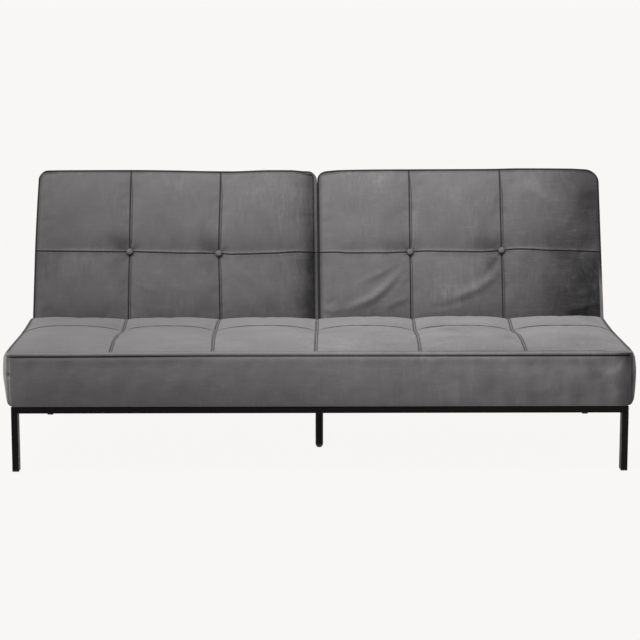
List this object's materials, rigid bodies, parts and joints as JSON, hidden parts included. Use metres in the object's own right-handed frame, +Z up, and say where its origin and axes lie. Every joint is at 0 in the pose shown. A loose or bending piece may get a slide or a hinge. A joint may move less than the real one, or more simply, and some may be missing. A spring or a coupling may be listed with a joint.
{
  "type": "click clack sofa bed",
  "caption": "Armless velvet sofa bed on a slim black tube base, with a split button-tufted back whose halves click down flat, each by itself, to make a bed.",
  "frame": {"origin": "middle of the footprint, on the floor under the feet", "axes": "+X to the right of someone who faces the sofa, the seat faces -Y, +Z up"},
  "size_m": [1.98, 0.9468, 0.8661],
  "materials": {
    "velvet": "matte",
    "lining": "matte",
    "black_tube": "satin",
    "foot_plastic": "matte",
    "frame_board": "matte",
    "spring_steel": "satin",
    "zinc_plate": "satin"
  },
  "bodies": {
    "base": {"front_rail": "black_tube", "rear_rail": "black_tube", "left_side_rail": "black_tube", "right_side_rail": "black_tube", "centre_cross_rail": "black_tube", "front_left_leg": "black_tube", "front_right_leg": "black_tube", "rear_left_leg": "black_tube", "rear_right_leg": "black_tube", "centre_leg": "black_tube", "front_left_foot": "foot_plastic", "front_right_foot": "foot_plastic", "rear_left_foot": "foot_plastic", "rear_right_foot": "foot_plastic", "centre_foot": "foot_plastic", "seat_front_board": "frame_board", "seat_rear_board": "frame_board", "seat_left_board": "frame_board", "seat_right_board": "frame_board", "seat_dust_cover": "lining", "seat_spring_1": "spring_steel", "seat_spring_2": "spring_steel", "seat_spring_3": "spring_steel", "seat_spring_4": "spring_steel", "seat_cushion": "velvet", "left_outer_hinge_seat_plate": "zinc_plate", "left_outer_hinge_pivot_bolt": "zinc_plate", "left_outer_pawl_spring": "spring_steel", "left_inner_hinge_seat_plate": "zinc_plate", "left_inner_hinge_pivot_bolt": "zinc_plate", "left_inner_pawl_spring": "spring_steel", "right_outer_hinge_seat_plate": "zinc_plate", "right_outer_hinge_pivot_bolt": "zinc_plate", "right_outer_pawl_spring": "spring_steel", "right_inner_hinge_seat_plate": "zinc_plate", "right_inner_hinge_pivot_bolt": "zinc_plate", "right_inner_pawl_spring": "spring_steel"},
    "left_back": {"left_back_frame": "frame_board", "left_back_spring_1": "spring_steel", "left_back_spring_2": "spring_steel", "left_back_rear_cover": "velvet", "left_back_cushion": "velvet", "left_back_button_1": "velvet", "left_back_button_2": "velvet", "left_outer_hinge_back_arm": "zinc_plate", "left_inner_hinge_back_arm": "zinc_plate"},
    "right_back": {"right_back_frame": "frame_board", "right_back_spring_1": "spring_steel", "right_back_spring_2": "spring_steel", "right_back_rear_cover": "velvet", "right_back_cushion": "velvet", "right_back_button_1": "velvet", "right_back_button_2": "velvet", "right_outer_hinge_back_arm": "zinc_plate", "right_inner_hinge_back_arm": "zinc_plate"},
    "left_outer_pawl": {"left_outer_ratchet_pawl": "zinc_plate"},
    "left_inner_pawl": {"left_inner_ratchet_pawl": "zinc_plate"},
    "right_outer_pawl": {"right_outer_ratchet_pawl": "zinc_plate"},
    "right_inner_pawl": {"right_inner_ratchet_pawl": "zinc_plate"}
  },
  "joints": [
    {"name": "left_back_recline", "type": "hinge", "parent": "base", "child": "left_back", "pos_m": [-0.48125, 0.1568, 0.3465], "axis": [-1, 0, 0], "range_deg": [-9, 68]},
    {"name": "right_back_recline", "type": "hinge", "parent": "base", "child": "right_back", "pos_m": [0.48125, 0.1568, 0.3465], "axis": [-1, 0, 0], "range_deg": [-9, 68]},
    {"name": "left_outer_pawl_turn", "type": "hinge", "parent": "base", "child": "left_outer_pawl", "pos_m": [-0.9401, 0.15482, 0.30252], "axis": [1, 0, 0], "range_deg": [-12, 0]},
    {"name": "left_inner_pawl_turn", "type": "hinge", "parent": "base", "child": "left_inner_pawl", "pos_m": [-0.0224, 0.15482, 0.30252], "axis": [1, 0, 0], "range_deg": [-12, 0]},
    {"name": "right_outer_pawl_turn", "type": "hinge", "parent": "base", "child": "right_outer_pawl", "pos_m": [0.9401, 0.15482, 0.30252], "axis": [1, 0, 0], "range_deg": [-12, 0]},
    {"name": "right_inner_pawl_turn", "type": "hinge", "parent": "base", "child": "right_inner_pawl", "pos_m": [0.0224, 0.15482, 0.30252], "axis": [1, 0, 0], "range_deg": [-12, 0]}
  ],
  "couplings": [
    {"joint": "left_inner_pawl_turn", "follows": "left_outer_pawl_turn", "ratio": 1},
    {"joint": "right_inner_pawl_turn", "follows": "right_outer_pawl_turn", "ratio": 1}
  ]
}
